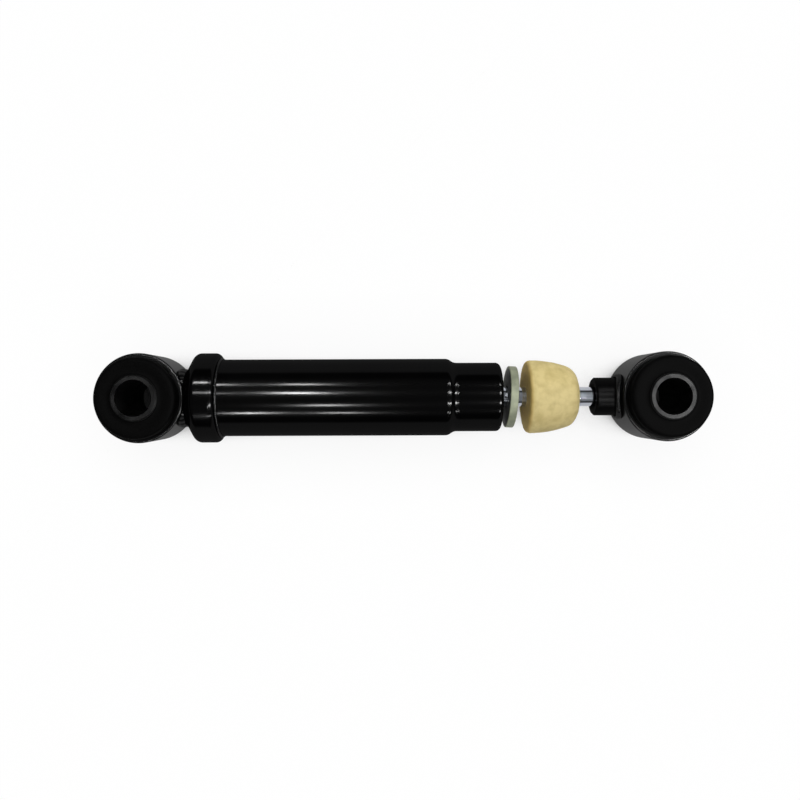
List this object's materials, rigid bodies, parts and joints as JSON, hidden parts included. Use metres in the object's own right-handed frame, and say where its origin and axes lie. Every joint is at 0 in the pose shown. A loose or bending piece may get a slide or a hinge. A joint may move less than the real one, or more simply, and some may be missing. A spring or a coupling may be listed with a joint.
{
  "type": "cab shock absorber",
  "caption": "Cab shock absorber: a twin-tube oil damper with a rubber-bushed eye at each end, and a loose stop washer and a foam bump stop on its rod.",
  "frame": {"origin": "centre of the body eye's bolt bore", "axes": "+X along the damper's axis towards the rod eye, +Z along both eyes' bores; it lies on its sleeve ends"},
  "size_m": [0.3406, 0.0508, 0.052],
  "materials": {
    "gloss_black_paint": "gloss black enamel over steel",
    "bush_rubber": "matte moulded rubber",
    "dark_sleeve_steel": "dark phosphated steel",
    "rod_chrome": "ground hard chrome",
    "olive_zinc": "olive passivated zinc",
    "bump_foam": "fine-celled yellow foam with a moulded skin",
    "plain_steel": "plain steel",
    "spring_steel": "blued spring steel",
    "sintered_iron": "sintered iron",
    "bearing_bronze": "bronze-backed bearing",
    "seal_rubber": "nitrile rubber",
    "band_plastic": "filled bearing plastic"
  },
  "bodies": {
    "barrel": {"reservoir_tube": "gloss_black_paint", "base_cap": "gloss_black_paint", "cap_weld": "gloss_black_paint", "body_eye_ring": "gloss_black_paint", "body_eye_weld": "gloss_black_paint", "body_eye_bush": "bush_rubber", "pressure_tube": "plain_steel", "foot_valve_body": "sintered_iron", "foot_valve_stud": "plain_steel", "foot_valve_discs": "spring_steel", "foot_valve_nut": "plain_steel", "foot_check_spring": "spring_steel", "rod_guide": "sintered_iron", "guide_bush": "bearing_bronze", "guide_o_ring": "seal_rubber", "rod_seal": "seal_rubber", "seal_garter_spring": "spring_steel", "closing_disc": "plain_steel"},
    "body_sleeve": {"body_eye_sleeve": "dark_sleeve_steel"},
    "foot_check": {"foot_check_plate": "spring_steel"},
    "floating_band": {"piston_band": "band_plastic"},
    "rod": {"piston_rod": "rod_chrome", "piston": "sintered_iron", "piston_stop_plate": "plain_steel", "piston_check_spring": "spring_steel", "piston_discs": "spring_steel", "piston_support_washer": "plain_steel", "piston_nut": "plain_steel", "rebound_stop": "plain_steel", "rebound_cushion": "band_plastic", "rod_eye_stem": "gloss_black_paint", "rod_eye_weld": "gloss_black_paint", "rod_eye_ring": "gloss_black_paint", "rod_eye_bush": "bush_rubber"},
    "piston_check": {"piston_check_plate": "spring_steel"},
    "rod_sleeve": {"rod_eye_sleeve": "dark_sleeve_steel"},
    "loose_washer": {"stop_washer": "olive_zinc"},
    "foam_stop": {"bump_stop": "bump_foam"}
  },
  "joints": [
    {"name": "rod_slide", "type": "slide", "parent": "barrel", "child": "floating_band", "axis": [1, 0, 0], "range_m": [-0.0154, 0.04]},
    {"name": "rod_swivel", "type": "hinge", "parent": "floating_band", "child": "rod", "pos_m": [0.11105, 0, 0], "axis": [1, 0, 0], "continuous": true},
    {"name": "washer_slide", "type": "slide", "parent": "barrel", "child": "loose_washer", "axis": [1, 0, 0], "range_m": [-0.00251, 0.00653]},
    {"name": "bump_slide", "type": "slide", "parent": "rod", "child": "foam_stop", "axis": [1, 0, 0], "range_m": [-0.02132, 0.00821]},
    {"name": "body_bush_twist", "type": "hinge", "parent": "barrel", "child": "body_sleeve", "pos_m": [0, 0, 0], "axis": [0, 0, 1], "range_deg": [-15, 15], "stiffness_Nm_per_rad": 30},
    {"name": "rod_bush_twist", "type": "hinge", "parent": "rod", "child": "rod_sleeve", "pos_m": [0.291, 0, 0], "axis": [0, 0, 1], "range_deg": [-15, 15], "stiffness_Nm_per_rad": 30},
    {"name": "foot_check_lift", "type": "slide", "parent": "barrel", "child": "foot_check", "axis": [1, 0, 0], "range_m": [0, 0.0012], "stiffness_N_per_m": 400, "springref_m": -0.002, "deforming": ["foot_check_spring"]},
    {"name": "piston_check_lift", "type": "slide", "parent": "rod", "child": "piston_check", "axis": [1, 0, 0], "range_m": [0, 0.0012], "stiffness_N_per_m": 400, "springref_m": -0.002, "deforming": ["piston_check_spring"]}
  ],
  "couplings": [
    {"joint": "washer_slide", "follows": "rod_slide", "ratio": 0.163},
    {"joint": "bump_slide", "follows": "rod_slide", "ratio": -0.5325}
  ]
}
